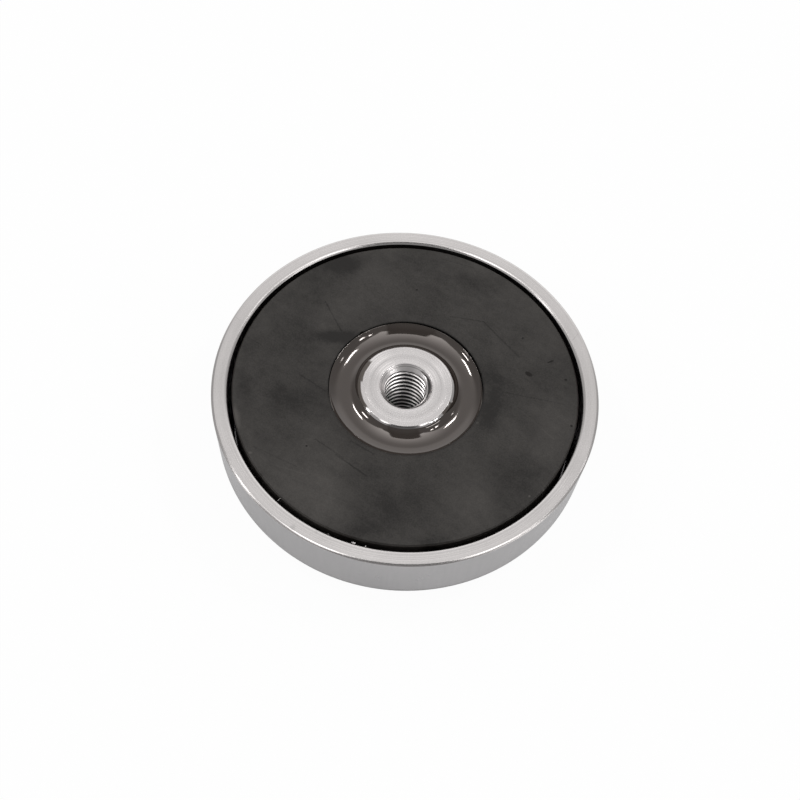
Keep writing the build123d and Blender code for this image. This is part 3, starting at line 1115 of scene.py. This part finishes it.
def makeBushSteel():
    material, tree, shader, place = newMaterial("turnedBushSteel")
    fine = placed(tree, grainAndClouds, {"Place": place, "Grain Size": 0.2, "Cloud Size": 3.0, "Seed": 2.0})
    marks = placed(tree, turningMarks, {"Place": place, "Spacing": bush["grooveSpacing"], "Wander": 0.15})
    polar = placed(tree, roundTheAxis, {"Place": place})
    smear = 0.0
    ragged = aroundZero(tree, fine["Cloud"], 0.9)
    for angle, halfAngle, radius, halfWidth in resinSmears.values():
        patch = arc(tree, place, angle, halfAngle, radius, halfWidth, 0.12, ragged)
        smear = calc(tree, "MAXIMUM", smear, patch)
    aboveResin = remap(tree, polar["Height"], resinHigh.z - 0.2, resinHigh.z)
    smear = calc(tree, "MULTIPLY", smear, aboveResin)
    tapped = remap(tree, polar["Radius"], bush["majorRadius"], bush["majorRadius"] + 0.04, 1.0, 0.0)
    # The thread lies beyond the two countersinks, whose slope is 45 degrees.
    fromBack = calc(tree, "SUBTRACT", calc(tree, "ADD", polar["Radius"], polar["Height"]), bush["backMouth"])
    fromFace = calc(tree, "SUBTRACT", polar["Radius"], polar["Height"])
    fromFace = calc(tree, "ADD", fromFace, faceHeight - bush["faceMouth"])
    belowCones = remap(tree, calc(tree, "MINIMUM", fromBack, fromFace), 0.02, 0.06)
    tapped = calc(tree, "MULTIPLY", tapped, belowCones)
    tone = total(tree, 0.5, aroundZero(tree, fine["Cloud"], 0.3), aroundZero(tree, fine["Grain"], 0.1),
                 aroundZero(tree, marks["Band"], 0.6), aroundZero(tree, marks["Groove"], 0.9))
    # Painted sheen on the turned face.
    sheen = 0.0
    for angle, halfAngle, radius, halfWidth, paler in turningSheen.values():
        patch = arc(tree, place, angle, halfAngle, radius, halfWidth, 0.9)
        sheen = calc(tree, "MAXIMUM", sheen, calc(tree, "MULTIPLY", patch, paler))
    lines = total(tree, 1.0, aroundZero(tree, marks["Band"], 2.0), aroundZero(tree, marks["Groove"], 6.0))
    sheen = calc(tree, "MULTIPLY", sheen, lines, clamp=True)
    mouth = remap(tree, polar["Radius"], bush["faceMouth"] - 0.04, bush["faceMouth"], 1.0, 0.0)
    mouth = calc(tree, "MULTIPLY", mouth, calc(tree, "SUBTRACT", 1.0, tapped))  # the countersinks
    streaks = total(tree, 0.5, aroundZero(tree, marks["Groove"], 5.0))
    value, tint = bush["steel"], bush["steelTint"]
    bright = tinted(value * bush["sheenTone"], *tint)
    steel = mixColour(tree, sheen, shades(tree, tone, value, bush["spread"], tint), bright)
    turned = mixColour(tree, streaks, tinted(value * bush["mouthTone"], *tint), bright)
    steel = mixColour(tree, mouth, steel, turned)
    # Painted shade on the bevel's near side.
    angle, halfAngle, darker = bush["bevelPaintedShade"]
    darkening = arc(tree, place, angle, halfAngle, bushHigh.x, bush["bevelWidth"], 0.2)
    darkening = calc(tree, "MULTIPLY", darkening, darker)
    steel = mixColour(tree, darkening, steel, tinted(value * bush["paintedShadeTone"], *tint))
    value = bush["tappedSteel"]
    steel = mixColour(tree, tapped, steel, tinted(value, *tint))
    # Painted shade on the thread's crests and in its roots.
    depth = calc(tree, "SUBTRACT", polar["Radius"], bush["minorRadius"])  # into the thread
    threadShade = remap(tree, depth, *bush["crestBand"], 1.0, 0.0)
    root = remap(tree, depth, *bush["rootBand"])
    threadShade = calc(tree, "MULTIPLY", calc(tree, "MAXIMUM", threadShade, root), tapped)
    # Painted shade that dims the thread where it would shine.
    angle, halfAngle, darker = bush["threadPaintedShade"]
    darkening = arc(tree, place, angle, halfAngle, bush["minorRadius"], 2.0, 0.6)
    darkening = calc(tree, "MULTIPLY", darkening, darker)
    threadShade = calc(tree, "MAXIMUM", threadShade, calc(tree, "MULTIPLY", darkening, tapped))
    steel = mixColour(tree, threadShade, steel, tinted(value * bush["threadShadeColour"], *tint))
    film = tinted(resin["colour"] * bush["smearTone"], *bush["smearTint"])
    plug(tree, shader.inputs["Base Color"], mixColour(tree, smear, steel, film))
    plug(tree, shader.inputs["Metallic"], calc(tree, "SUBTRACT", 1.0, smear))
    flat = onFace(tree, polar["Height"], 0.05)
    rough = mixValue(tree, flat, bush["bevelRoughness"], remap(tree, fine["Grain"], 0.2, 0.8, 0.23, 0.29))
    rough = mixValue(tree, mouth, rough, bush["mouthRoughness"])
    plug(tree, shader.inputs["Roughness"], mixValue(tree, tapped, rough, bush["tappedRoughness"]))
    height = calc(tree, "MULTIPLY", aroundZero(tree, marks["Groove"]), flat)
    height = mixValue(tree, tapped, height, aroundZero(tree, fine["Grain"], 0.06))
    height = calc(tree, "MULTIPLY", height, calc(tree, "SUBTRACT", 1.0, smear))
    addBump(tree, shader, height, bush["grooveDepth"])
    return material


def makeBush():
    steel = makeBushSteel()
    radius, edge, major = bushHigh.x, bush["edgeRound"], bush["majorRadius"]
    lowEnd = bush["backMouth"] - major  # between these two heights the bore is threaded
    highEnd = faceHeight - (bush["faceMouth"] - major)
    half, depth = bevelDepths(bush["bevelWidth"], bush["bevelSlopes"])
    firstTurn = math.floor(lowEnd / bush["pitch"]) - 2 + bush["threadStart"]
    values = {
        "Minor Radius": bush["minorRadius"], "Major Radius": major, "Pitch": bush["pitch"],
        "First Turn": firstTurn, "Turns": math.ceil(highEnd / bush["pitch"] - firstTurn),
        "Rows Per Turn": bush["rowsPerPitch"], "Low End": lowEnd, "High End": highEnd,
        "Segments": bush["segments"], "Material": steel,
    }
    bore = grownMesh("tappedBore", threadTree(), values)
    outline = [
        (major, lowEnd, 0.0),
        (bush["backMouth"], 0.0, edge),
        (bush["spigotRadius"] - bush["spigotEdge"], 0.0, edge),
        (bush["spigotRadius"], bush["spigotEdge"], edge),
        (bush["spigotRadius"], floorTop, edge),
        (radius, floorTop, edge),
        (radius, faceHeight - depth, edge),
        (radius - bush["bevelWidth"] / 2, faceHeight - half, bush["bevelRound"]),
        (radius - bush["bevelWidth"], faceHeight, edge),
        (bush["faceMouth"], faceHeight, edge),
        (major, highEnd, 0.0),
    ]
    points, tangents = roundedSection(outline)
    outside = spin("outside", points, tangents, bush["segments"], closed=False)
    mesh = joinMeshes("bushBody", [bore, outside], steel, 0.002 * mm)
    mesh.set_sharp_from_angle(angle=math.radians(bush["sharpAngle"]))
    piece = showPiece("bushBody", mesh)
    piece.modifiers.new("evenShading", "WEIGHTED_NORMAL").keep_sharp = True
    evaluated = piece.evaluated_get(bpy.context.evaluated_depsgraph_get())
    piece.data = bpy.data.meshes.new_from_object(evaluated)
    piece.modifiers.clear()
    return piece


bushBody = makeBush()
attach(bushBody, "root")
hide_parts("threaded_bush")
crisplyLit.objects.link(bushBody)
print("bush made:", len(bushBody.data.polygons), "faces")
